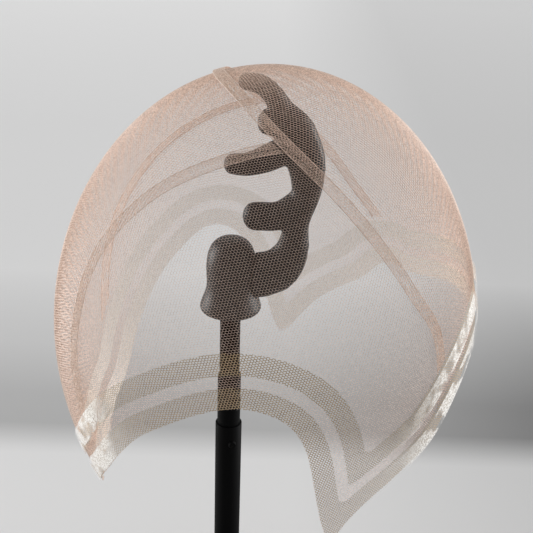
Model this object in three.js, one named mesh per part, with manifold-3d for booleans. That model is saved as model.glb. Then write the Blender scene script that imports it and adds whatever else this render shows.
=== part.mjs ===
// A sheer lace wig cap hanging on a black plastic wig stand.
// Millimetres, +Z up, +X to the front of the cap, origin on the floor under the pole.
import * as THREE from 'three';
import { mergeVertices } from 'three/addons/utils/BufferGeometryUtils.js';
import Module from 'manifold-3d';

const wasm = await Module();
wasm.setup();

// Cap: half an ellipsoid over the widest level, whose wall runs on below it and tucks in.
const cap = {
  halfLength: 99,
  halfWidth: 83,
  domeHeight: 124,
  widestLevel: 214.5,
  aheadOfPole: 17,
  yaw: 7,
  sideTuck: 0.35,
  napeTuck: 1,
};

// Cloth: the lace wall, and the tapes and ribbons laid on its outer face.
const cloth = {
  wall: 1,
  lap: 0.45,
  ribbon: 1,
  panelInset: 0.16,
  seamTape: 5,
  hemEdge: 0.4,
  hemBand: 9.5,
  hemGap: 5.5,
};

// Hem: height over the widest level, by the turn away from the front, on each side of the head.
const hemRows = [
  { turn: 0, right: 9, left: 9 },
  { turn: 14, right: 9, left: 9 },
  { turn: 27, right: 1, left: 5 },
  { turn: 36, right: -11, left: 3 },
  { turn: 45, right: -26, left: 4 },
  { turn: 52, right: -34, left: -8 },
  { turn: 60, right: -42, left: -17 },
  { turn: 67, right: -50, left: -26 },
  { turn: 72, right: -59, left: -36 },
  { turn: 76, right: -69, left: -45 },
  { turn: 79, right: -60, left: -48 },
  { turn: 82, right: -40, left: -39 },
  { turn: 85, right: -17, left: -22 },
  { turn: 89, right: -4, left: 0 },
  { turn: 95, right: 3, left: 14 },
  { turn: 103, right: 5, left: 18 },
  { turn: 112, right: 0, left: 7 },
  { turn: 120, right: -8, left: -8 },
  { turn: 128, right: -18, left: -29 },
  { turn: 136, right: -33, left: -52 },
  { turn: 144, right: -48, left: -62 },
  { turn: 160, right: -70, left: -73 },
  { turn: 180, right: -76, left: -76 },
];
const seamFrontTurn = 45;
const seamBackTurn = 144;

// Seams on the flat map of the cap, in degrees of arc from the crown. The front seam runs over the head
// from hem to hem, and a back seam leaves it on each side.
const frontSeamRows = [
  { forward: 53, left: -58.5 },
  { forward: 38, left: -56 },
  { forward: 18.5, left: -47.5 },
  { forward: 0.5, left: -33.5 },
  { forward: -9, left: -17.5 },
  { forward: -13.5, left: 3 },
  { forward: -9, left: 23 },
  { forward: 2, left: 40.5 },
  { forward: 19, left: 49.5 },
  { forward: 38, left: 56.5 },
  { forward: 54, left: 57.5 },
];
const junctionRows = { right: 3, left: 7 };
const backSeamRows = [
  { forward: -17, right: 34.5, left: 44 },
  { forward: -37, right: 33.5, left: 46.5 },
  { forward: -57, right: 34, left: 51 },
  { forward: -77, right: 43, left: 60 },
];

// Grid cells of the panels and samples along the edges.
const grid = {
  sideUp: 8,
  centreAcross: 16,
  frontUp: 18,
  backUp: 22,
  hemPerRow: 3,
  frontTape: 50,
  backTape: 23,
};

// Stand: the foot, three telescoping tubes, a socket with a flared collar, and the ribbed arm.
const foot = { radius: 75, height: 9, hubRadius: 11, hubTop: 25.5, bottomOfBore: 12 };
const tubes = {
  lower: { radius: 6.6, bore: 6, top: 158.3 },
  middle: { radius: 5.7, bore: 5.2, top: 186 },
  upper: { radius: 4.9, top: 234.7 },
  overlap: 25,
  clearance: 0.3,
};
const socket = {
  rim: 222.5,
  rimRadius: 14.5,
  waistRadius: 11.4,
  barrelRadius: 11.7,
  top: 259,
  boreTop: 235,
};
const button = { radius: 2, thickness: 1, height: 148.8, turn: -72 };
const sides = { foot: 44, round: 24, limb: 12 };

// Limbs of the arm: centre line in the plane of the pole, and the size across and through it.
const spineRows = [
  { x: 4, z: 239, across: 24, through: 15 },
  { x: 20.5, z: 243, across: 22.5, through: 14 },
  { x: 27.8, z: 253, across: 16.5, through: 13 },
  { x: 29.8, z: 268, across: 11.5, through: 12 },
  { x: 33.6, z: 284, across: 14, through: 12 },
  { x: 32.4, z: 298, across: 18, through: 13 },
  { x: 27, z: 311, across: 18.5, through: 13 },
  { x: 20.8, z: 321, across: 11, through: 11 },
  { x: 16.6, z: 327.5, across: 9.4, through: 10.5 },
  { x: 11.2, z: 331.8, across: 8.8, through: 10 },
  { x: 4.8, z: 332.8, across: 7.8, through: 9.5 },
];
const lowRibRows = [
  { x: 33, z: 279, across: 14, through: 11 },
  { x: 22, z: 271, across: 14, through: 11 },
  { x: 10.3, z: 270.2, across: 14, through: 11 },
];
const middleRibRows = [
  { x: 29, z: 306, across: 13, through: 11 },
  { x: 17, z: 299, across: 13, through: 11 },
  { x: 7, z: 295.2, across: 11, through: 10.5 },
  { x: -0.4, z: 295, across: 9.6, through: 10 },
];
const upperRibRows = [
  { x: 28, z: 311, across: 16, through: 12 },
  { x: 22, z: 314, across: 13.6, through: 12 },
  { x: 15.4, z: 315.2, across: 12.6, through: 11.5 },
];

const lace = { color: 0xdcc6bb, roughness: 0.55 };
const ribbon = { color: 0xdcd3c8, roughness: 0.35 };
const plastic = { color: 0x1d1b1a, roughness: 0.5 };
const enamel = { color: 0x111111, roughness: 0.35, metalness: 0.3 };

const rad = THREE.MathUtils.degToRad;
const deg = THREE.MathUtils.radToDeg;

// Surface of the cap

// The inner face of the wall at a point of the flat map, whose x is forward and y to the left.
function wallPoint(map) {
  const fall = rad(Math.hypot(map.x, map.y));
  const turn = Math.atan2(map.y, map.x);
  const nape = Math.max(0, -Math.cos(turn)) ** 2;
  const tuck = cap.sideTuck + (cap.napeTuck - cap.sideTuck) * nape;
  const below = fall > Math.PI / 2;
  const reach = below ? 1 - tuck * (1 - Math.sin(fall)) : Math.sin(fall);
  return new THREE.Vector3(
    cap.halfLength * reach * Math.cos(turn),
    cap.halfWidth * reach * Math.sin(turn),
    cap.domeHeight * Math.cos(fall),
  );
}

// Millimetres moved on the wall for each degree forward and to the left.
function wallSlopes(map) {
  const step = 0.5;
  const slope = (x, y) => wallPoint(new THREE.Vector2(map.x + x, map.y + y))
    .sub(wallPoint(new THREE.Vector2(map.x - x, map.y - y)))
    .divideScalar(2 * step);
  return { forward: slope(step, 0), left: slope(0, step) };
}

function wallNormal(map) {
  const { forward, left } = wallSlopes(map);
  return forward.cross(left).normalize();
}

function offsetPoint(map, offset) {
  return wallPoint(map).addScaledVector(wallNormal(map), offset);
}

// A map point moved along the wall in a direction in space, in short steps.
function slide(map, heading, distance) {
  const steps = 5;
  const moved = map.clone();
  for (let i = 0; i < steps; i += 1) {
    const { forward, left } = wallSlopes(moved);
    const ff = forward.dot(forward);
    const fl = forward.dot(left);
    const ll = left.dot(left);
    const hf = heading.dot(forward);
    const hl = heading.dot(left);
    const scale = distance / steps / (ff * ll - fl * fl);
    moved.x += (hf * ll - hl * fl) * scale;
    moved.y += (hl * ff - hf * fl) * scale;
  }
  return moved;
}

// The wall's own direction to the left of a line, from the map points before and after it.
function leftOf(map, before, after) {
  const along = wallPoint(after).sub(wallPoint(before));
  return wallNormal(map).cross(along).normalize();
}

// Hem and seams on the flat map

function hemPoint(row, side) {
  const fall = deg(Math.acos(row[side] / cap.domeHeight));
  const turn = rad(side === 'left' ? row.turn : -row.turn);
  return new THREE.Vector2(fall * Math.cos(turn), fall * Math.sin(turn));
}

function smoothLine(points, closed = false) {
  const spaced = points.map((p) => new THREE.Vector3(p.x, p.y, 0));
  return new THREE.CatmullRomCurve3(spaced, closed, 'centripetal');
}

function pointAt(curve, share) {
  const p = curve.getPoint(share);
  return new THREE.Vector2(p.x, p.y);
}

// The hem runs from the front round the left side to the nape and back along the right side.
const leftHem = hemRows.map((row) => hemPoint(row, 'left'));
const rightHem = hemRows.map((row) => hemPoint(row, 'right')).slice(1, -1).reverse();
const hemControls = [...leftHem, ...rightHem];
const hemCurve = smoothLine(hemControls, true);
const frontRow = hemRows.findIndex((row) => row.turn === seamFrontTurn);
const backRow = hemRows.findIndex((row) => row.turn === seamBackTurn);
const rows = hemControls.length;
const hemStops = {
  leftFront: frontRow,
  leftBack: backRow,
  rightBack: rows - backRow,
  rightFront: rows - frontRow,
};

function hemStretch(from, to) {
  return (share) => pointAt(hemCurve, (((from + (to - from) * share) / rows) % 1 + 1) % 1);
}

const hemLoop = [];
for (let i = 0; i < rows * grid.hemPerRow; i += 1) {
  hemLoop.push(pointAt(hemCurve, i / (rows * grid.hemPerRow)));
}

const hemInSpace = hemLoop.map((map) => wallPoint(map));

function distanceToHem(map) {
  const place = wallPoint(map);
  const line = new THREE.Line3();
  const nearest = new THREE.Vector3();
  let least = Infinity;
  hemInSpace.forEach((start, i) => {
    line.set(start, hemInSpace[(i + 1) % hemInSpace.length]);
    line.closestPointToPoint(place, true, nearest);
    least = Math.min(least, nearest.distanceTo(place));
  });
  return least;
}

const frontSeam = smoothLine([
  hemPoint(hemRows[frontRow], 'right'),
  ...frontSeamRows.map((row) => new THREE.Vector2(row.forward, row.left)),
  hemPoint(hemRows[frontRow], 'left'),
]);
const junctionShares = {
  right: (junctionRows.right + 1) / (frontSeamRows.length + 1),
  left: (junctionRows.left + 1) / (frontSeamRows.length + 1),
};

function backSeamLine(side) {
  const sign = side === 'left' ? 1 : -1;
  return smoothLine([
    pointAt(frontSeam, junctionShares[side]),
    ...backSeamRows.map((row) => new THREE.Vector2(row.forward, sign * row[side])),
    hemPoint(hemRows[backRow], side),
  ]);
}

const backSeams = { right: backSeamLine('right'), left: backSeamLine('left') };

// The front seam between the two back seams, and from the hem up to one of them.
function crownSeam(share) {
  const { right, left } = junctionShares;
  return pointAt(frontSeam, right + (left - right) * share);
}

function frontSeamUp(side, share) {
  const hemShare = side === 'left' ? 1 : 0;
  return pointAt(frontSeam, hemShare + (junctionShares[side] - hemShare) * share);
}

// Patches of the flat map, and the solids made from them

function gridPatch(along, up, place) {
  const points = [];
  const faces = [];
  const known = new Map();
  const index = (i, j) => {
    const map = place(i / along, j / up);
    const key = `${map.x.toFixed(5)},${map.y.toFixed(5)}`;
    if (!known.has(key)) {
      known.set(key, points.length);
      points.push(map);
    }
    return known.get(key);
  };
  for (let i = 0; i < along; i += 1) {
    for (let j = 0; j < up; j += 1) {
      const [a, b, c, d] = [index(i, j), index(i + 1, j), index(i + 1, j + 1), index(i, j + 1)];
      if (points[a].distanceTo(points[c]) < points[b].distanceTo(points[d])) {
        faces.push([a, b, c], [a, c, d]);
      } else {
        faces.push([a, b, d], [b, c, d]);
      }
    }
  }
  return { points, faces: faces.filter(([a, b, c]) => a !== b && b !== c && c !== a) };
}

// A patch filled in from its four edges, which meet at the corners.
function fourSided(along, up, bottom, top, start, end) {
  const corner = [bottom(0), bottom(1), top(0), top(1)];
  return gridPatch(along, up, (u, v) => new THREE.Vector2()
    .addScaledVector(bottom(u), 1 - v)
    .addScaledVector(top(u), v)
    .addScaledVector(start(v), 1 - u)
    .addScaledVector(end(v), u)
    .addScaledVector(corner[0], -(1 - u) * (1 - v))
    .addScaledVector(corner[1], -u * (1 - v))
    .addScaledVector(corner[2], -(1 - u) * v)
    .addScaledVector(corner[3], -u * v));
}

// A patch between two lines that share both ends.
function twoSided(along, up, bottom, top) {
  return gridPatch(along, up, (u, v) => bottom(u).lerp(top(u), v));
}

function turnOutward(patch) {
  const area = patch.faces.reduce((sum, [a, b, c]) => {
    const ab = patch.points[b].clone().sub(patch.points[a]);
    const ac = patch.points[c].clone().sub(patch.points[a]);
    return sum + ab.cross(ac);
  }, 0);
  return area < 0 ? patch.faces.map(([a, b, c]) => [a, c, b]) : patch.faces;
}

// Edges that only one face uses, each with the patch on its left.
function rimEdges(faces) {
  const seen = new Map();
  faces.forEach(([a, b, c]) => {
    [[a, b], [b, c], [c, a]].forEach(([from, to]) => seen.set(`${from},${to}`, [from, to]));
  });
  return [...seen.values()].filter(([from, to]) => !seen.has(`${to},${from}`));
}

function insetRim(points, rim, amount) {
  const pull = points.map(() => new THREE.Vector2());
  rim.forEach(([from, to]) => {
    const edge = points[to].clone().sub(points[from]).normalize();
    const inward = new THREE.Vector2(-edge.y, edge.x);
    pull[from].add(inward);
    pull[to].add(inward);
  });
  return points.map((point, i) => point.clone().addScaledVector(pull[i].normalize(), amount));
}

// A wall between two offsets from the inner face, over one patch of the map.
function thicken(patch, inner, outer, inset = 0) {
  const faces = turnOutward(patch);
  const rim = rimEdges(faces);
  const points = insetRim(patch.points, rim, inset);
  const count = points.length;
  const corners = [
    ...points.map((map) => offsetPoint(map, outer)),
    ...points.map((map) => offsetPoint(map, inner)),
  ];
  const triangles = [];
  faces.forEach(([a, b, c]) => triangles.push([a, b, c], [a + count, c + count, b + count]));
  rim.forEach(([from, to]) => {
    triangles.push([from + count, to + count, to], [from + count, to, from]);
  });
  return indexed(corners, triangles);
}

function indexed(corners, triangles) {
  const geometry = new THREE.BufferGeometry();
  geometry.setAttribute('position', new THREE.Float32BufferAttribute(corners.flatMap((p) => p.toArray()), 3));
  geometry.setIndex(triangles.flat());
  return geometry;
}

// Lines beside the hem and the seams

// The hem moved up the wall, without the points that a sharp tip would fold over.
function besideHem(distance) {
  const count = hemLoop.length;
  const moved = hemLoop.map((map, i) => {
    const before = hemLoop[(i + count - 1) % count];
    const after = hemLoop[(i + 1) % count];
    return slide(map, leftOf(map, before, after), distance);
  });
  return moved.filter((map) => distanceToHem(map) > 0.96 * distance);
}

// Faces between two closed lines, taking the shorter step each time.
function bandPatch(outer, inner) {
  const points = [...outer, ...inner];
  const places = points.map((map) => wallPoint(map));
  const faces = [];
  let i = 0;
  let j = 0;
  while (i < outer.length || j < inner.length) {
    const a = i % outer.length;
    const aNext = (i + 1) % outer.length;
    const b = outer.length + (j % inner.length);
    const bNext = outer.length + ((j + 1) % inner.length);
    const stepOuter = places[aNext].distanceTo(places[b]);
    const stepInner = places[a].distanceTo(places[bNext]);
    if (j >= inner.length || (i < outer.length && stepOuter <= stepInner)) {
      faces.push([a, aNext, b]);
      i += 1;
    } else {
      faces.push([a, bNext, b]);
      j += 1;
    }
  }
  return { points, faces };
}

// The right and left edge of a tape at one place on its line.
function tapeEdges(curve, share, width) {
  const step = 0.002;
  const map = pointAt(curve, share);
  const before = pointAt(curve, Math.max(0, share - step));
  const after = pointAt(curve, Math.min(1, share + step));
  const toLeft = leftOf(map, before, after);
  return [slide(map, toLeft, -width / 2), slide(map, toLeft, width / 2)];
}

// A strip of even width along an open line, each edge over the stretch that a test allows.
function tapePatch(curve, segments, width, allowed) {
  const tries = 240;
  const shares = Array.from({ length: tries + 1 }, (_, i) => i / tries);
  const stretches = [0, 1].map((edge) => {
    const clear = shares.filter((share) => allowed(tapeEdges(curve, share, width)[edge]));
    return [clear[0], clear.at(-1)];
  });
  return gridPatch(segments, 1, (u, v) => {
    const [first, last] = stretches[v];
    return tapeEdges(curve, first + (last - first) * u, width)[v];
  });
}

function clearOf(curve, distance) {
  const places = curve.getPoints(120).map((p) => wallPoint(p));
  return (map) => {
    const place = wallPoint(map);
    return places.every((other) => other.distanceTo(place) > distance);
  };
}

// Closed round bodies and the limbs of the arm

function faceOutward(geometry) {
  geometry.deleteAttribute('normal');
  geometry.deleteAttribute('uv');
  const merged = mergeVertices(geometry, 1e-4);
  const index = Array.from(merged.index.array);
  const place = merged.getAttribute('position');
  const corner = (i) => new THREE.Vector3().fromBufferAttribute(place, i);
  const kept = [];
  let volume = 0;
  for (let i = 0; i < index.length; i += 3) {
    const [a, b, c] = index.slice(i, i + 3);
    if (a !== b && b !== c && c !== a) {
      kept.push([a, b, c]);
      volume += corner(a).dot(corner(b).cross(corner(c)));
    }
  }
  merged.setIndex(kept.flatMap(([a, b, c]) => (volume < 0 ? [a, c, b] : [a, b, c])));
  return merged;
}

function turned(profile, segments) {
  const points = profile.map(([radius, height]) => new THREE.Vector2(radius, height));
  return faceOutward(new THREE.LatheGeometry(points, segments).rotateX(Math.PI / 2));
}

function toSolid(geometry) {
  const mesh = new wasm.Mesh({
    numProp: 3,
    vertProperties: new Float32Array(geometry.getAttribute('position').array),
    triVerts: new Uint32Array(geometry.index.array),
  });
  return new wasm.Manifold(mesh);
}

function fromSolid(solid) {
  const mesh = solid.getMesh();
  const geometry = new THREE.BufferGeometry();
  geometry.setAttribute('position', new THREE.Float32BufferAttribute(mesh.vertProperties, 3));
  geometry.setIndex(Array.from(mesh.triVerts));
  return geometry;
}

// A limb with oval sections square to its centre line, flat at its root and round at its tip.
function limb(limbRows, stations) {
  const centre = new THREE.CatmullRomCurve3(limbRows.map((row) => new THREE.Vector3(row.x, 0, row.z)));
  const sizes = limbRows.map((row) => new THREE.Vector3(row.across, row.through, 0));
  const size = new THREE.CatmullRomCurve3(sizes);
  const tipSteps = 4;
  const tipReach = 0.8;
  const corners = [];
  const ring = (share, ahead, shrink) => {
    const along = centre.getTangent(share);
    const across = new THREE.Vector3(-along.z, 0, along.x);
    const half = size.getPoint(share).multiplyScalar(0.5 * shrink);
    const middle = centre.getPoint(share).addScaledVector(along, ahead);
    for (let k = 0; k < sides.limb; k += 1) {
      const angle = (2 * Math.PI * k) / sides.limb;
      const corner = middle.clone().addScaledVector(across, half.x * Math.cos(angle));
      corner.y += half.y * Math.sin(angle);
      corners.push(corner);
    }
  };
  for (let i = 0; i <= stations; i += 1) {
    ring(i / stations, 0, 1);
  }
  const tipHalf = limbRows.at(-1).across / 2;
  for (let i = 1; i < tipSteps; i += 1) {
    const angle = (Math.PI / 2) * (i / tipSteps);
    ring(1, tipHalf * tipReach * Math.sin(angle), Math.cos(angle));
  }
  const rings = corners.length / sides.limb;
  const tip = centre.getPoint(1).addScaledVector(centre.getTangent(1), tipHalf * tipReach);
  const root = corners.push(centre.getPoint(0), tip) - 2;
  const triangles = [];
  for (let k = 0; k < sides.limb; k += 1) {
    const next = (k + 1) % sides.limb;
    for (let r = 0; r < rings - 1; r += 1) {
      const [a, b] = [r * sides.limb + k, r * sides.limb + next];
      triangles.push([a, b, b + sides.limb], [a, b + sides.limb, a + sides.limb]);
    }
    const end = (rings - 1) * sides.limb;
    triangles.push([root, next, k], [root + 1, end + k, end + next]);
  }
  return faceOutward(indexed(corners, triangles));
}

// Pieces of the cap

function frontPanel() {
  return fourSided(
    grid.centreAcross,
    grid.frontUp,
    hemStretch(hemStops.rightFront - rows, hemStops.leftFront),
    crownSeam,
    (v) => frontSeamUp('right', v),
    (v) => frontSeamUp('left', v),
  );
}

function backPanel() {
  return fourSided(
    grid.centreAcross,
    grid.backUp,
    hemStretch(hemStops.rightBack, hemStops.leftBack),
    crownSeam,
    (v) => pointAt(backSeams.right, 1 - v),
    (v) => pointAt(backSeams.left, 1 - v),
  );
}

// The side panel's cells meet those of the front and back panels along the seams.
function sidePanel(side) {
  const [from, to] = side === 'left'
    ? [hemStops.leftFront, hemStops.leftBack]
    : [hemStops.rightFront, hemStops.rightBack];
  const along = grid.frontUp + grid.backUp;
  const frontPart = grid.frontUp / along;
  const seam = (u) => (u < frontPart
    ? frontSeamUp(side, u / frontPart)
    : pointAt(backSeams[side], (u - frontPart) / (1 - frontPart)));
  return twoSided(along, grid.sideUp, hemStretch(from, to), seam);
}

const innerBandStart = cloth.hemEdge + cloth.hemBand + cloth.hemGap;
const hemDepth = innerBandStart + cloth.hemBand;

function hemBand(start) {
  return bandPatch(besideHem(start), besideHem(start + cloth.hemBand));
}

function clearOfHem(map) {
  return distanceToHem(map) > hemDepth + cloth.lap;
}

function frontTape() {
  return tapePatch(frontSeam, grid.frontTape, cloth.seamTape, clearOfHem);
}

function backTape(side) {
  const clearOfFront = clearOf(frontSeam, cloth.seamTape / 2 + 2 * cloth.lap);
  const allowed = (map) => clearOfHem(map) && clearOfFront(map);
  return tapePatch(backSeams[side], grid.backTape, cloth.seamTape, allowed);
}

// Pieces of the stand

function footBody() {
  const bore = tubes.lower.radius + tubes.clearance;
  return turned([
    [0, 0],
    [foot.radius - 2, 0],
    [foot.radius, 2],
    [foot.radius, foot.height - 4],
    [foot.radius - 3, foot.height - 1],
    [foot.hubRadius + 6, foot.height + 2],
    [foot.hubRadius, foot.height + 6],
    [foot.hubRadius, foot.hubTop - 1.5],
    [foot.hubRadius - 1.5, foot.hubTop],
    [bore, foot.hubTop],
    [bore, foot.bottomOfBore],
    [0, foot.bottomOfBore],
  ], sides.foot);
}

function tubeBody(radius, bore, bottom, top) {
  const profile = bore > 0
    ? [[bore, bottom], [radius, bottom], [radius, top], [bore, top], [bore, bottom]]
    : [[0, bottom], [radius, bottom], [radius, top], [0, top]];
  return turned(profile, sides.round);
}

function socketProfile(grow) {
  const bore = tubes.upper.radius + tubes.clearance;
  return [
    [0, socket.boreTop],
    [bore, socket.boreTop],
    [bore, socket.rim - grow],
    [socket.rimRadius - 1 + grow, socket.rim - grow],
    [socket.rimRadius + grow, socket.rim + 1],
    [socket.rimRadius - 1 + grow, socket.rim + 5],
    [socket.waistRadius + grow, socket.rim + 12],
    [socket.barrelRadius + grow, socket.rim + 20],
    [socket.barrelRadius - 0.8 + grow, socket.top - 7.5],
    [socket.barrelRadius - 3.2 + grow, socket.top - 3.2],
    [socket.barrelRadius - 6.6 + grow, socket.top - 0.8],
    [0, socket.top + grow],
  ];
}

function armBody() {
  const limbs = [limb(lowRibRows, 8), limb(middleRibRows, 9), limb(upperRibRows, 4)];
  const joined = limbs.reduce((arm, part) => arm.add(toSolid(part)), toSolid(limb(spineRows, 30)));
  const room = toSolid(turned(socketProfile(tubes.clearance), sides.round));
  const largest = joined.subtract(room).decompose()
    .sort((a, b) => b.volume() - a.volume())[0];
  return fromSolid(largest);
}

function buttonBody() {
  return new THREE.CylinderGeometry(button.radius - 0.4, button.radius, button.thickness, 20)
    .rotateZ(-Math.PI / 2)
    .translate(tubes.lower.radius + tubes.clearance + button.thickness / 2, 0, 0)
    .rotateZ(rad(button.turn))
    .translate(0, 0, button.height);
}

function piece(name, geometry, finish) {
  const mesh = new THREE.Mesh(geometry, new THREE.MeshStandardMaterial(finish));
  mesh.name = name;
  return mesh;
}

function laceWall(name, patch) {
  return piece(name, thicken(patch, 0, cloth.wall, cloth.panelInset), lace);
}

function tapeWall(name, patch, finish) {
  const inner = cloth.wall + cloth.lap;
  return piece(name, thicken(patch, inner, inner + cloth.ribbon), finish);
}

const capGroup = new THREE.Group();
capGroup.position.set(cap.aheadOfPole, 0, cap.widestLevel);
capGroup.rotation.z = rad(cap.yaw);
capGroup.add(
  laceWall('front_panel', frontPanel()),
  laceWall('back_panel', backPanel()),
  laceWall('right_panel', sidePanel('right')),
  laceWall('left_panel', sidePanel('left')),
  tapeWall('front_seam_tape', frontTape(), lace),
  tapeWall('right_seam_tape', backTape('right'), lace),
  tapeWall('left_seam_tape', backTape('left'), lace),
  tapeWall('outer_hem_band', hemBand(cloth.hemEdge), ribbon),
  tapeWall('inner_hem_band', hemBand(innerBandStart), ribbon),
);

const { lower, middle, upper } = tubes;
const lowerBottom = foot.bottomOfBore + tubes.clearance;
const middleBottom = lower.top - tubes.overlap;
const upperBottom = middle.top - tubes.overlap;
const standGroup = new THREE.Group();
standGroup.add(
  piece('stand_foot', footBody(), plastic),
  piece('lower_tube', tubeBody(lower.radius, lower.bore, lowerBottom, lower.top), enamel),
  piece('middle_tube', tubeBody(middle.radius, middle.bore, middleBottom, middle.top), enamel),
  piece('upper_tube', tubeBody(upper.radius, 0, upperBottom, upper.top), enamel),
  piece('snap_button', faceOutward(buttonBody()), enamel),
  piece('stand_socket', turned(socketProfile(0), sides.round), plastic),
  piece('stand_arm', armBody(), plastic),
);

const wigCapOnStand = new THREE.Group();
wigCapOnStand.add(capGroup, standGroup);

export default wigCapOnStand;
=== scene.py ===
"""Looks of the lace wig cap and its stand, in metres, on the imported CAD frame."""

import math

import bmesh
import bpy
import numpy as np
from mathutils import Matrix, Vector


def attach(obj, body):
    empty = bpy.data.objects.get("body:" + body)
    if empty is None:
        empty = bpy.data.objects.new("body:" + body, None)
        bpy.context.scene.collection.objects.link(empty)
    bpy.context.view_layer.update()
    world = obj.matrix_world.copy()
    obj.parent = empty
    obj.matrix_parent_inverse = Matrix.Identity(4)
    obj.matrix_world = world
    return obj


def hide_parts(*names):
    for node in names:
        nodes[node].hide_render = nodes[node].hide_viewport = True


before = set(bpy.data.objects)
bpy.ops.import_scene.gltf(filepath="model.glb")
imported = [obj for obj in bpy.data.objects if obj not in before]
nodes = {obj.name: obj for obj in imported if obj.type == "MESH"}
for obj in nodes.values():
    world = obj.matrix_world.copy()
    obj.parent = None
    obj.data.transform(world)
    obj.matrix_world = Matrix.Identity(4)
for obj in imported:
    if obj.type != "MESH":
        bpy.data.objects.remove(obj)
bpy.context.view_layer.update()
body = "root"
mm = 0.001

# The cap's wall as the CAD has it: millimetres and degrees in the cap's own frame.
half_length = 99.0
half_width = 83.0
dome_height = 124.0
widest_level = 214.5
ahead_of_pole = 17.0
yaw = math.radians(7.0)
side_tuck = 0.35
nape_tuck = 1.0

# Net: ridged strands, whose width and height are shares of the spacing of the holes. In the hem each
# strand is two flat strips, a brown one outside and a slightly wider cream one inside, a little apart.
hole_stretch = 1.2
strand_width = 0.085
strand_height = 0.187
outer_strip = 0.26
inner_strip = 0.29
strip_gap = 0.02

# How far the panels' nets, and the tapes and ribbons, lie off the wall's inner face in millimetres.
panel_level = 0.5
tape_level = 1.7

# How far the near face of the CAD tapes and ribbons lies off it.
tape_foot = 1.45

# Stitching along the tapes, in millimetres: the thread swells by a share of its radius in every stitch.
stitch_radius = 0.18
stitch_length = 1.5
stitch_swell = 0.35

# Where the back seams leave the front seam, in degrees to the left on the flat map.
right_junction = -33.5
left_junction = 40.5

# Where each panel's net is laid out from, on the flat map in degrees, its turn, the spacing of its
# holes and how far it reaches.
net_rows = {
    "front_panel": {"forward": 38, "left": 0, "turn": 108, "pitch": 1.25, "reach": 152},
    "back_panel": {"forward": -68, "left": 0, "turn": 3, "pitch": 1.25, "reach": 172},
    "right_panel": {"forward": -4, "left": -72, "turn": 69, "pitch": 1.12, "reach": 165},
    "left_panel": {"forward": -4, "left": 72, "turn": -69, "pitch": 1.12, "reach": 165},
}


# The cap's surface


def unit(vectors):
    return vectors / np.linalg.norm(vectors, axis=-1, keepdims=True)


def wall(points):
    """Inner face of the cap at flat map points, in millimetres in the cap's frame."""
    fall = np.radians(np.hypot(points[:, 0], points[:, 1]))
    turn = np.arctan2(points[:, 1], points[:, 0])
    nape = np.maximum(0, -np.cos(turn)) ** 2
    tuck = side_tuck + (nape_tuck - side_tuck) * nape
    below = 1 - tuck * (1 - np.sin(fall))
    reach = np.where(fall > math.pi / 2, below, np.sin(fall))
    return np.stack(
        [
            half_length * reach * np.cos(turn),
            half_width * reach * np.sin(turn),
            dome_height * np.cos(fall),
        ],
        axis=1,
    )


def slopes(points):
    """Millimetres for each degree forward and to the left, and the normal outward."""
    step = 0.5
    ahead, aside = np.array([step, 0]), np.array([0, step])
    forward = (wall(points + ahead) - wall(points - ahead)) / (2 * step)
    left = (wall(points + aside) - wall(points - aside)) / (2 * step)
    return forward, left, unit(np.cross(forward, left))


def raised(points, level):
    return wall(points) + level * slopes(points)[2]


def to_map(places):
    """Flat map points of places on the inner face."""
    fall = np.degrees(np.arccos(np.clip(places[:, 2] / dome_height, -1, 1)))
    turn = np.arctan2(places[:, 1] / half_width, places[:, 0] / half_length)
    return np.stack([fall * np.cos(turn), fall * np.sin(turn)], axis=1)


def to_part(places):
    """Places in the cap's frame, in the part's frame in metres."""
    c, s = math.cos(yaw), math.sin(yaw)
    x = places[:, 0] * c - places[:, 1] * s + ahead_of_pole
    y = places[:, 0] * s + places[:, 1] * c
    return np.stack([x, y, places[:, 2] + widest_level], axis=1) * mm


def to_cap(places):
    """Places in the part's frame, in the cap's frame in millimetres."""
    c, s = math.cos(yaw), math.sin(yaw)
    x = places[:, 0] / mm - ahead_of_pole
    y = places[:, 1] / mm
    return np.stack([x * c + y * s, y * c - x * s, places[:, 2] / mm - widest_level], axis=1)


# Cloth outlines taken from the CAD nodes


def cloth_face(node, level):
    """Map points and triangles of the face of a cloth node at that level over the inner face."""
    fit_rounds = 5
    farthest_off = 0.15
    mesh = nodes[node].data
    mesh.calc_loop_triangles()
    corners = np.empty(len(mesh.vertices) * 3)
    mesh.vertices.foreach_get("co", corners)
    triangles = np.empty(len(mesh.loop_triangles) * 3, int)
    mesh.loop_triangles.foreach_get("vertices", triangles)
    places = np.round(to_cap(corners.reshape(-1, 3)), 2)
    places, same = np.unique(places, axis=0, return_inverse=True)
    triangles = same.reshape(-1)[triangles].reshape(-1, 3)
    points = to_map(places)
    for _ in range(fit_rounds):
        points = to_map(places - level * slopes(points)[2])
    off = np.linalg.norm(raised(points, level) - places, axis=1)
    return points, triangles[(off[triangles] < farthest_off).all(axis=1)]


def outlines(triangles):
    """Closed lines of vertex numbers round a face, the longest first."""
    edges = {(a, b) for t in triangles for a, b in zip(t, np.roll(t, -1))}
    follow = {a: b for a, b in edges if (b, a) not in edges}
    lines = []
    while follow:
        start, at = next(iter(follow.items()))
        line = [start]
        del follow[start]
        while at != start:
            line.append(at)
            at = follow.pop(at)
        lines.append(line)
    return sorted(lines, key=len, reverse=True)


def within(points, line):
    """Which map points lie inside a closed line."""
    found = np.zeros(len(points), bool)
    near = ((points > line.min(axis=0)) & (points < line.max(axis=0))).all(axis=1)
    x, y = points[near].T
    odd = np.zeros(len(x), bool)
    for (x0, y0), (x1, y1) in zip(line, np.roll(line, -1, axis=0)):
        crosses = (y0 > y) != (y1 > y)
        if crosses.any():
            odd[crosses] ^= x[crosses] < x0 + (y[crosses] - y0) * (x1 - x0) / (y1 - y0)
    found[near] = odd
    return found


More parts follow.
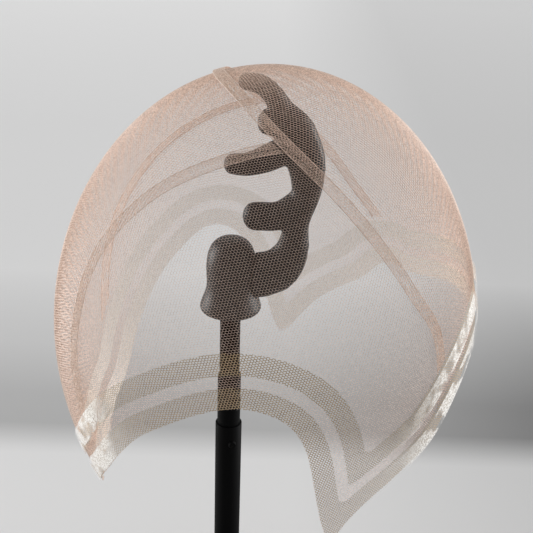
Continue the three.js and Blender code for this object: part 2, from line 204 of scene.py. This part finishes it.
def region(node, level):
    """A test for the map points that a cloth node covers."""
    points, triangles = cloth_face(node, level)
    lines = [points[line] for line in outlines(triangles)]
    lines.sort(key=lambda line: np.ptp(line[:, 0]), reverse=True)
    return lambda p: within(p, lines[0]) & ~np.any([within(p, line) for line in lines[1:]], axis=0)


# Net


def laid(centre, flat):
    """Flat millimetres round a centre, laid on the wall along straight ways."""
    steps = 48
    at = np.repeat(centre[None], len(flat), axis=0)
    forward, left, normal = slopes(at)
    ahead = unit(forward)
    heading = flat[:, :1] * ahead + flat[:, 1:] * np.cross(normal, ahead)
    length = np.linalg.norm(heading, axis=1, keepdims=True)
    for _ in range(steps):
        ff = (forward * forward).sum(1)
        fl = (forward * left).sum(1)
        ll = (left * left).sum(1)
        hf = (heading * forward).sum(1)
        hl = (heading * left).sum(1)
        scale = 1 / steps / (ff * ll - fl * fl)
        at = at + np.stack([(hf * ll - hl * fl) * scale, (hl * ff - hf * fl) * scale], axis=1)
        forward, left, normal = slopes(at)
        heading = heading - (heading * normal).sum(1, keepdims=True) * normal
        heading *= length / np.maximum(np.linalg.norm(heading, axis=1, keepdims=True), 1e-9)
    return at


def net(row):
    """Both ends of every strand of a hexagonal net on the flat map, and each strand's pitch."""
    pitch = row["pitch"]
    side = pitch / math.sqrt(3)
    lean = 1.2  # more rows than the reach needs, because the rows lean
    count = math.ceil(lean * row["reach"] / pitch)
    span = np.arange(-count, count + 1)
    i, j = np.meshgrid(span, span, indexing="ij")
    knots = np.stack([pitch * (i + 0.5 * j), hole_stretch * 1.5 * side * j], axis=-1)
    partner = knots + np.array([0, hole_stretch * side])
    flat = np.concatenate([knots.reshape(-1, 2), partner.reshape(-1, 2)])
    number = np.arange(i.size).reshape(i.shape)
    one = number[1:-1, 1:-1].ravel()
    others = [number[1:-1, 1:-1], number[1:-1, :-2], number[2:, :-2]]
    ends = np.concatenate([np.stack([one, o.ravel() + i.size], axis=1) for o in others])
    near = np.hypot(flat[:, 0], flat[:, 1]) < row["reach"]
    ends = ends[near[ends].all(axis=1)]
    turn = math.radians(row["turn"])
    c, s = math.cos(turn), math.sin(turn)
    turned_flat = flat[near] @ np.array([[c, s], [-s, c]])
    placed = np.zeros(flat.shape)
    placed[near] = laid(np.array([row["forward"], row["left"]], float), turned_flat)
    return placed[ends[:, 0]], placed[ends[:, 1]], np.full(len(ends), pitch)


def cut(strands, covers):
    """The strands inside a region, shortened where they cross its edge."""
    halvings = 7
    whole_starts, whole_ends, pitch = strands
    start_in, end_in = covers(whole_starts), covers(whole_ends)
    swap = (end_in & ~start_in)[:, None]
    keep = start_in | end_in
    starts = np.where(swap, whole_ends, whole_starts)[keep]
    ends = np.where(swap, whole_starts, whole_ends)[keep]
    crossing = (start_in ^ end_in)[keep]
    inner, outer = starts[crossing], ends[crossing]
    for _ in range(halvings):
        middle = (inner + outer) / 2
        is_in = covers(middle)[:, None]
        inner, outer = np.where(is_in, middle, inner), np.where(is_in, outer, middle)
    ends[crossing] = inner
    return starts, ends, pitch[keep]


def between(covers, low, high):
    """The part of a region between two places to the left on the flat map."""
    return lambda p: covers(p) & (p[:, 1] > low) & (p[:, 1] < high)


# Meshes


def new_piece(name, mesh, material):
    piece = bpy.data.objects.new(name, mesh)
    bpy.context.scene.collection.objects.link(piece)
    mesh.materials.append(material)
    return piece


def quad_mesh(name, places, quads):
    """A smooth mesh of four-sided faces, places in metres."""
    mesh = bpy.data.meshes.new(name)
    mesh.vertices.add(len(places))
    mesh.vertices.foreach_set("co", places.astype(np.float32).ravel())
    mesh.loops.add(4 * len(quads))
    mesh.loops.foreach_set("vertex_index", quads.astype(np.int32).ravel())
    mesh.polygons.add(len(quads))
    mesh.polygons.foreach_set("loop_start", np.arange(0, 4 * len(quads), 4, dtype=np.int32))
    mesh.polygons.foreach_set("use_smooth", np.ones(len(quads), bool))
    mesh.update(calc_edges=True)
    mesh.validate()
    return mesh


def strand_faces(strands, level, in_hem):
    """Places and faces of the strands between map points, two faces to a strand."""
    starts, ends, pitch = strands
    a, b = raised(starts, level), raised(ends, level)
    along = unit(b - a)
    across = unit(np.cross(along, slopes((starts + ends) / 2)[2]))
    up = np.cross(across, along)
    across, lift = across * pitch[:, None] / 2, strip_gap / 2 * up
    if in_hem:
        outer, inner = outer_strip * across, inner_strip * across
        rim = [lift + outer, lift - outer, inner - lift, -inner - lift]
        faces = [[1, 0, 4, 5], [2, 3, 7, 6]]
    else:
        half, ridge = strand_width * across, strand_height * pitch[:, None] * up
        rim = [ridge / 2, half - ridge / 2, -half - ridge / 2]
        faces = [[1, 0, 3, 4], [0, 2, 5, 3]]
    places = np.stack([a + r for r in rim] + [b + r for r in rim], axis=1)
    first = 2 * len(rim) * np.arange(len(a))[:, None]
    return places.reshape(-1, 3), np.concatenate([first + np.array(face) for face in faces])


def net_piece(name, strands, level, in_hem, material):
    """A net of ridged strands, and of flat strips in two layers where it lies in the hem."""
    places, faces = strand_faces([column[~in_hem] for column in strands], level, in_hem=False)
    hem_strands = [column[in_hem] for column in strands]
    strip_places, strip_faces = strand_faces(hem_strands, level, in_hem=True)
    slots = np.repeat([0, 1, 2], [len(faces), in_hem.sum(), in_hem.sum()])
    faces = np.concatenate([faces, strip_faces + len(places)])
    places = np.concatenate([places, strip_places])
    piece = new_piece(name, quad_mesh(name, to_part(places), faces), material)
    if in_hem.any():
        piece.data.materials.append(hem_thread)
        piece.data.materials.append(lining)
        piece.data.polygons.foreach_set("material_index", slots.astype(np.int32))
    return piece


def ring_quads(rings, sides):
    """Faces between rings of points that follow one another."""
    ring = np.arange(sides)
    after = np.roll(ring, -1)
    step = sides * np.arange(rings - 1)[:, None]
    corners = [step + ring, step + after, step + sides + after, step + sides + ring]
    return np.stack(corners, axis=-1).reshape(-1, 4)


def cord_places(line, radius, sides):
    """Rings of points along a line of places, with the radius given at each place."""
    along = unit(np.gradient(line, axis=0))
    up = unit(line)
    across = unit(np.cross(along, up))
    up = np.cross(across, along)
    angles = 2 * math.pi * np.arange(sides) / sides
    cosines, sines = np.cos(angles)[None, :, None], np.sin(angles)[None, :, None]
    ring = cosines * across[:, None] + sines * up[:, None]
    return line[:, None] + radius[:, None, None] * ring


def cords_piece(name, lines, material):
    """Stitched threads along several lines of places in the cap's frame, as one mesh."""
    sides = 4
    rings_in_a_stitch = 3
    places, quads, base = [], [], 0
    for line in lines:
        gaps = np.linalg.norm(np.diff(line, axis=0), axis=1)
        run = np.concatenate([[0], np.cumsum(gaps)])
        at = np.arange(0, run[-1], stitch_length / rings_in_a_stitch)
        even = np.stack([np.interp(at, run, line[:, k]) for k in range(3)], axis=1)
        radius = stitch_radius * (1 + stitch_swell * np.cos(2 * math.pi * at / stitch_length))
        places.append(cord_places(even, radius, sides).reshape(-1, 3))
        quads.append(base + ring_quads(len(at), sides))
        base += sides * len(at)
    mesh = quad_mesh(name, to_part(np.concatenate(places)), np.concatenate(quads))
    return new_piece(name, mesh, material)


def film_piece(name, node, material):
    """The sheer ribbon of a hem band, on the CAD band's own outline."""
    points, triangles = cloth_face(node, tape_foot)
    shape = bmesh.new()
    corners = [shape.verts.new((x, y, 0)) for x, y in points]
    for triangle in triangles:
        shape.faces.new([corners[k] for k in triangle])
    loose = [v for v in shape.verts if not v.link_faces]
    bmesh.ops.delete(shape, geom=loose, context="VERTS")
    bmesh.ops.subdivide_edges(shape, edges=shape.edges[:], cuts=3, use_grid_fill=True)
    mesh = bpy.data.meshes.new(name)
    shape.to_mesh(mesh)
    shape.free()
    flat = np.empty(len(mesh.vertices) * 3)
    mesh.vertices.foreach_get("co", flat)
    places = to_part(raised(flat.reshape(-1, 3)[:, :2], tape_level))
    mesh.vertices.foreach_set("co", places.astype(np.float32).ravel())
    mesh.polygons.foreach_set("use_smooth", np.ones(len(mesh.polygons), bool))
    mesh.update()
    return new_piece(name, mesh, material)


def long_edges(node):
    """The two long edges of a tape as places in the cap's frame."""
    points, triangles = cloth_face(node, tape_foot)
    line = points[outlines(triangles)[0]]
    places = raised(line, tape_level)
    before = unit(places - np.roll(places, 1, axis=0))
    after = unit(np.roll(places, -1, axis=0) - places)
    bend = (before * after).sum(1)
    corners = np.sort(np.argsort(bend)[:4])
    edges = []
    for first, last in zip(corners, np.roll(corners, -1)):
        count = (last - first) % len(places)
        edges.append(places[(first + np.arange(count + 1)) % len(places)])
    edges.sort(key=len)
    return edges[-2:]


def turned_piece(name, profile, material, segments=96):
    """A round piece from a closed or open profile of radius and height in millimetres."""
    crease = math.radians(50)
    profile = np.array(profile, float)
    angles = 2 * math.pi * np.arange(segments) / segments
    around = np.stack([np.cos(angles), np.sin(angles)], axis=1)
    flat = profile[:, None, :1] * around[None]
    height = np.repeat(profile[:, None, 1:], segments, axis=1)
    places = np.concatenate([flat, height], axis=-1) * mm
    mesh = quad_mesh(name, places.reshape(-1, 3), ring_quads(len(profile), segments))
    mesh.set_sharp_from_angle(angle=crease)
    return new_piece(name, mesh, material)


def melted_piece(name, node, voxel, rounds, material):
    """A CAD node's form with its joins and facets melted smooth, the voxel in millimetres."""
    source = bpy.data.objects.new(name + "_source", nodes[node].data.copy())
    bpy.context.scene.collection.objects.link(source)
    remesh = source.modifiers.new("even", "REMESH")
    remesh.mode = "VOXEL"
    remesh.voxel_size = voxel * mm
    smooth = source.modifiers.new("melt", "SMOOTH")
    smooth.factor = 0.5
    smooth.iterations = rounds
    evaluated = source.evaluated_get(bpy.context.evaluated_depsgraph_get())
    mesh = bpy.data.meshes.new_from_object(evaluated)
    bpy.data.objects.remove(source)
    mesh.name = name
    mesh.materials.clear()
    mesh.polygons.foreach_set("use_smooth", np.ones(len(mesh.polygons), bool))
    return new_piece(name, mesh, material)


# Materials


def new_material(name, **sockets):
    material = bpy.data.materials.new(name)
    material.use_nodes = True
    shader = material.node_tree.nodes["Principled BSDF"]
    for socket, value in sockets.items():
        shader.inputs[socket.replace("_", " ")].default_value = value
    return material, shader


def add_noise(material, scale, detail, stretch=(1, 1, 1)):
    tree = material.node_tree
    place = tree.nodes.new("ShaderNodeTexCoord")
    mapping = tree.nodes.new("ShaderNodeMapping")
    mapping.inputs["Scale"].default_value = stretch
    noise = tree.nodes.new("ShaderNodeTexNoise")
    noise.inputs["Scale"].default_value = scale
    noise.inputs["Detail"].default_value = detail
    tree.links.new(place.outputs["Object"], mapping.inputs["Vector"])
    tree.links.new(mapping.outputs["Vector"], noise.inputs["Vector"])
    return noise


def add_ramp(material, source, low, high, low_at=0.3, high_at=0.7):
    """Two colours or greys spread over a noise."""
    ramp = material.node_tree.nodes.new("ShaderNodeValToRGB")
    for stop, at, value in zip(ramp.color_ramp.elements, (low_at, high_at), (low, high)):
        stop.position = at
        stop.color = (*value, 1) if hasattr(value, "__len__") else (value, value, value, 1)
    material.node_tree.links.new(source.outputs["Fac"], ramp.inputs["Fac"])
    return ramp


def add_bump(material, shader, source, strength, distance):
    bump = material.node_tree.nodes.new("ShaderNodeBump")
    bump.inputs["Strength"].default_value = strength
    bump.inputs["Distance"].default_value = distance * mm
    material.node_tree.links.new(source.outputs["Fac"], bump.inputs["Height"])
    material.node_tree.links.new(bump.outputs["Normal"], shader.inputs["Normal"])


def add_product(material, first, second):
    product = material.node_tree.nodes.new("ShaderNodeMath")
    product.operation = "MULTIPLY"
    material.node_tree.links.new(first, product.inputs[0])
    material.node_tree.links.new(second, product.inputs[1])
    return product.outputs["Value"]


def thread_material(name, dark, light, roughness):
    """A twisted thread, mottled between two tones."""
    material, shader = new_material(name, Roughness=roughness, Sheen_Weight=0.2)
    shader.inputs["Sheen Roughness"].default_value = 0.4
    twist = add_noise(material, scale=1500, detail=1.0)
    tone = add_ramp(material, twist, dark, light, low_at=0.36, high_at=0.64)
    material.node_tree.links.new(tone.outputs["Color"], shader.inputs["Base Color"])
    add_bump(material, shader, twist, strength=0.3, distance=0.05)
    return material


def film_material():
    """Sheer satin, grainy, and closer at a slant than face on, as a thin film is; the white patches where
    it is closest are painted satin highlights.
    """
    material, shader = new_material("hem_film", Roughness=0.24, Specular_IOR_Level=0.9)
    shader.inputs["Coat Weight"].default_value = 0.6
    shader.inputs["Coat Roughness"].default_value = 0.15
    tree = material.node_tree
    weave = add_noise(material, scale=1300, detail=2.0)
    cream, white = (0.86, 0.80, 0.72), (1.0, 0.98, 0.94)
    tone = add_ramp(material, weave, cream, white, low_at=0.38, high_at=0.62)
    tree.links.new(tone.outputs["Color"], shader.inputs["Base Color"])
    facing = tree.nodes.new("ShaderNodeLayerWeight")
    facing.inputs["Blend"].default_value = 0.5
    cover = tree.nodes.new("ShaderNodeMapRange")
    cover.interpolation_type = "SMOOTHSTEP"
    cover.inputs["From Min"].default_value = 0.36
    cover.inputs["From Max"].default_value = 0.60
    cover.inputs["To Min"].default_value = 0.03
    cover.inputs["To Max"].default_value = 1.0
    tree.links.new(facing.outputs["Facing"], cover.inputs["Value"])
    # Random patches where the white film is closer: painted satin highlights.
    satin_glint_noise = add_noise(material, scale=95, detail=3.0)
    painted_glint_patches = add_ramp(material, satin_glint_noise, low=0.15, high=1.0, low_at=0.42, high_at=0.51)
    grain = add_ramp(material, weave, low=0.5, high=1.0, low_at=0.38, high_at=0.56)
    sheer = add_product(material, painted_glint_patches.outputs["Color"], grain.outputs["Color"])
    alpha = add_product(material, cover.outputs["Result"], sheer)
    tree.links.new(alpha, shader.inputs["Alpha"])
    add_bump(material, shader, add_noise(material, scale=260, detail=4.0), strength=0.35, distance=0.25)
    return material


def plastic_material():
    """Black moulded plastic with a fine grain."""
    material, shader = new_material("stand_plastic", Specular_IOR_Level=0.35)
    wear = add_noise(material, scale=90, detail=6.0)
    tone = add_ramp(material, wear, low=(0.0025, 0.0024, 0.0022), high=(0.006, 0.0057, 0.0054))
    material.node_tree.links.new(tone.outputs["Color"], shader.inputs["Base Color"])
    gloss = add_ramp(material, wear, low=0.42, high=0.56)
    material.node_tree.links.new(gloss.outputs["Color"], shader.inputs["Roughness"])
    add_bump(material, shader, add_noise(material, scale=1400, detail=2.0), strength=0.12, distance=0.08)
    return material


def tube_material():
    """Black enamel on drawn tube, streaked along it."""
    material, shader = new_material("stand_tube", Specular_IOR_Level=0.06)
    drawn = add_noise(material, scale=240, detail=4.0, stretch=(1, 1, 0.03))
    tone = add_ramp(material, drawn, low=(0.0004, 0.0004, 0.0005), high=(0.001, 0.001, 0.0012))
    material.node_tree.links.new(tone.outputs["Color"], shader.inputs["Base Color"])
    gloss = add_ramp(material, drawn, low=0.56, high=0.66)
    material.node_tree.links.new(gloss.outputs["Color"], shader.inputs["Roughness"])
    add_bump(material, shader, add_noise(material, scale=900, detail=2.0), strength=0.05, distance=0.05)
    return material


# Threads, each with its dark tone, its light tone and its roughness.
lace = thread_material("lace_thread", (0.58, 0.40, 0.31), (0.96, 0.73, 0.60), 0.42)
# The tapes' thread is the lace's, painted lighter to lift the shade in their doubled net.
tape_thread_shade_lifted = thread_material("tape_thread_shade_lifted", (0.64, 0.46, 0.36), (1.0, 0.80, 0.67), 0.42)
stitching = thread_material("stitching", (0.52, 0.38, 0.30), (0.74, 0.57, 0.47), 0.40)
hem_thread = thread_material("hem_thread", (0.29, 0.19, 0.10), (0.50, 0.35, 0.20), 0.35)
lining = thread_material("lining_thread", (0.66, 0.57, 0.48), (0.90, 0.81, 0.71), 0.35)
film = film_material()
plastic = plastic_material()
enamel = tube_material()


# The cap

nets = {panel: net(row) for panel, row in net_rows.items()}
bands = {
    band: film_piece(band + "_film", band, film) for band in ("outer_hem_band", "inner_hem_band")
}
band_regions = [region(band, tape_foot) for band in bands]
panels = {}
for panel in net_rows:
    strands = cut(nets[panel], region(panel, 0))
    middle = (strands[0] + strands[1]) / 2
    in_hem = band_regions[0](middle) | band_regions[1](middle)
    panels[panel] = net_piece(panel + "_net", strands, panel_level, in_hem, lace)

# Each tape is a doubled net: which panels' nets lie in it, and over what part of it in degrees to the
# left on the flat map.
whole = (-180, 180)
tape_nets = {
    "front_seam_tape": {
        "front_panel": whole,
        "right_panel": (-180, right_junction),
        "back_panel": (right_junction, left_junction),
        "left_panel": (left_junction, 180),
    },
    "right_seam_tape": {"right_panel": whole, "back_panel": whole},
    "left_seam_tape": {"left_panel": whole, "back_panel": whole},
}
tapes = {}
for tape, sources in tape_nets.items():
    covers = region(tape, tape_foot)
    parts = [cut(nets[panel], between(covers, *part)) for panel, part in sources.items()]
    layers = tuple(np.concatenate(column) for column in zip(*parts))
    no_hem = np.zeros(len(layers[0]), bool)
    doubled = net_piece(tape + "_net", layers, tape_level, no_hem, tape_thread_shade_lifted)
    lines = cords_piece(tape + "_stitching", long_edges(tape), stitching)
    tapes[tape] = (doubled, lines)


# The stand

# Stands for a radius of nothing, in millimetres.
on_axis = 0.001

# Radius and height of each point of an outline, in millimetres.
socket_profile = [
    [5.2, 222.5], [13.2, 222.5], [14.1, 222.9], [14.5, 223.8], [14.4, 224.8], [13.6, 227.4],
    [12.4, 230.6], [11.6, 233.6], [11.4, 236.5], [11.55, 240], [11.7, 244], [11.5, 248],
    [10.9, 251.5], [9.8, 254.4], [8.2, 256.6], [6.2, 258.1], [3.4, 258.8], [on_axis, 259],
]
foot_profile = [
    [on_axis, 0], [72.6, 0], [74.2, 0.6], [75, 2], [75, 4.6], [74.4, 6.2], [72, 8],
    [45, 9.4], [17, 11], [13.4, 12.2], [11.6, 13.9], [11, 16], [11, 23.6], [10.5, 25],
    [9.2, 25.5], [6.9, 25.5], [6.9, 12], [on_axis, 12],
]
tube_rows = {
    "lower_tube": {"radius": 6.6, "bore": 6.0, "bottom": 12.3, "top": 158.3},
    "middle_tube": {"radius": 5.7, "bore": 5.2, "bottom": 133.3, "top": 186},
    "upper_tube": {"radius": 4.9, "bore": on_axis, "bottom": 161, "top": 234.7},
}


def tube_profile(radius, bore, bottom, top):
    edge = 0.35
    return [
        [bore, bottom], [radius - edge, bottom], [radius, bottom + edge], [radius, top - edge],
        [radius - edge, top], [bore, top], [bore, bottom],
    ]


arm = melted_piece("stand_arm_moulded", "stand_arm", voxel=0.8, rounds=6, material=plastic)
socket = turned_piece("stand_socket_moulded", socket_profile, plastic)
tubes = {
    tube: turned_piece(tube + "_drawn", tube_profile(**row), enamel) for tube, row in tube_rows.items()
}
foot = turned_piece("stand_foot_moulded", foot_profile, plastic, segments=160)
nodes["snap_button"].data.materials.clear()
nodes["snap_button"].data.materials.append(enamel)


# Riding, and standing for the CAD nodes

stand_pieces = {
    "stand_arm": (arm, "stand_plastic"),
    "stand_socket": (socket, "stand_plastic"),
    **{tube: (piece, "stand_tube") for tube, piece in tubes.items()},
    "stand_foot": (foot, "stand_plastic"),
}
for node, (piece, slot) in stand_pieces.items():
    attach(piece, body)
    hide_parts(node)

for panel, piece in panels.items():
    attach(piece, body)
    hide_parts(panel)

for tape, (doubled, lines) in tapes.items():
    for piece in (doubled, lines):
        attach(piece, body)
    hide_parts(tape)

for band, ribbon in bands.items():
    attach(ribbon, body)
    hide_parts(band)


# Stage, light and camera

half_floor = 6.0
floor_mesh = bpy.data.meshes.new("floor")
floor_mesh.from_pydata(
    [(x * half_floor, y * half_floor, 0) for x, y in ((-1, -1), (1, -1), (1, 1), (-1, 1))],
    [],
    [(0, 1, 2, 3)],
)

# Grey of the floor by its distance behind the pole in metres: where the photo's wall stands it is painted
# with that wall's light and shade, with a painted shaded band from 0.225 to 0.27 m. The left grey passes
# into the right one, painted darker, between two places to the right.
left_until = 0.04
right_from = 0.26
floor_rows = [
    {"away": 0.00, "left": 0.60, "right": 0.435},
    {"away": 0.19, "left": 0.675, "right": 0.505},
    {"away": 0.225, "left": 0.413, "right": 0.162},
    {"away": 0.27, "left": 0.455, "right": 0.181},
    {"away": 0.35, "left": 0.635, "right": 0.357},
    {"away": 0.50, "left": 0.87, "right": 0.735},
    {"away": 1.00, "left": 0.873, "right": 0.736},
    {"away": 2.00, "left": 0.98, "right": 0.83},
]


def floor_material():
    """Painted light and shade by the floor's rows, read along the floor from the pole."""
    material, shader = new_material("floor", Roughness=0.9)
    tree = material.node_tree
    place = tree.nodes.new("ShaderNodeTexCoord")
    split = tree.nodes.new("ShaderNodeSeparateXYZ")
    tree.links.new(place.outputs["Object"], split.inputs["Vector"])
    farthest = floor_rows[-1]["away"]
    away = tree.nodes.new("ShaderNodeMapRange")
    away.inputs["From Max"].default_value = farthest
    tree.links.new(split.outputs["Y"], away.inputs["Value"])
    aside = tree.nodes.new("ShaderNodeMapRange")
    aside.inputs["From Min"].default_value = left_until
    aside.inputs["From Max"].default_value = right_from
    tree.links.new(split.outputs["X"], aside.inputs["Value"])
    blend = tree.nodes.new("ShaderNodeMix")
    blend.data_type = "RGBA"
    tree.links.new(aside.outputs["Result"], blend.inputs["Factor"])
    for side, letter in (("left", "A"), ("right", "B")):
        ramp = tree.nodes.new("ShaderNodeValToRGB")
        elements = ramp.color_ramp.elements
        while len(elements) < len(floor_rows):
            elements.new(1.0)
        for element, row in zip(elements, floor_rows):
            element.position = row["away"] / farthest
            element.color = (row[side], row[side], row[side], 1)
        tree.links.new(away.outputs["Result"], ramp.inputs["Fac"])
        target = next(i for i in blend.inputs if i.name == letter and i.type == "RGBA")
        tree.links.new(ramp.outputs["Color"], target)
    result = next(o for o in blend.outputs if o.type == "RGBA")
    tree.links.new(result, shader.inputs["Base Color"])
    return material


floor = new_piece("floor", floor_mesh, floor_material())

# Even white light from all round.
world_strength = 0.72
world = bpy.data.worlds.new("studio")
bpy.context.scene.world = world
world.use_nodes = True
world.node_tree.nodes["Background"].inputs["Color"].default_value = (1.0, 1.0, 1.0, 1)
world.node_tree.nodes["Background"].inputs["Strength"].default_value = world_strength


def soft_light(name, place, target):
    """A softbox that faces a target, both places in metres."""
    data = bpy.data.lights.new(name, "AREA")
    data.shape = "RECTANGLE"
    data.size = box_width
    data.size_y = box_height
    data.energy = box_power
    data.spread = box_spread
    lamp = bpy.data.objects.new(name, data)
    bpy.context.scene.collection.objects.link(lamp)
    turned = (Vector(target) - Vector(place)).to_track_quat("-Z", "Y")
    lamp.matrix_world = Matrix.Translation(place) @ turned.to_matrix().to_4x4()


# Two softboxes beside and behind the cap, in metres and watts, gridded to keep their light off the floor.
box_width = 0.25
box_height = 0.66
box_power = 1.26
box_spread = math.radians(60)
box_aside = 0.86
box_behind = 0.26
box_level = 0.34
cap_middle = (0.017, 0.0, 0.25)
soft_light("right_box", (box_aside, box_behind, box_level), cap_middle)
soft_light("left_box", (-box_aside, box_behind, box_level), cap_middle)

scene = bpy.context.scene
scene.view_settings.view_transform = "Standard"

camera_data = bpy.data.cameras.new("camera")
camera_data.sensor_width = 36.0
camera_data.lens = 68.25
camera = bpy.data.objects.new("camera", camera_data)
scene.collection.objects.link(camera)
scene.camera = camera
elevation = math.radians(25.0)
roll = math.radians(1.9)
distance = 0.4728
aim = Vector((0.0165, 0.0, 0.245))
back = Vector((0, -math.cos(elevation), math.sin(elevation)))
level_right = Vector((1, 0, 0))
level_up = back.cross(level_right)
right = math.cos(roll) * level_right + math.sin(roll) * level_up
up = math.cos(roll) * level_up - math.sin(roll) * level_right
turn = Matrix((right, up, back)).transposed().to_4x4()
camera.matrix_world = Matrix.Translation(aim + distance * back) @ turn
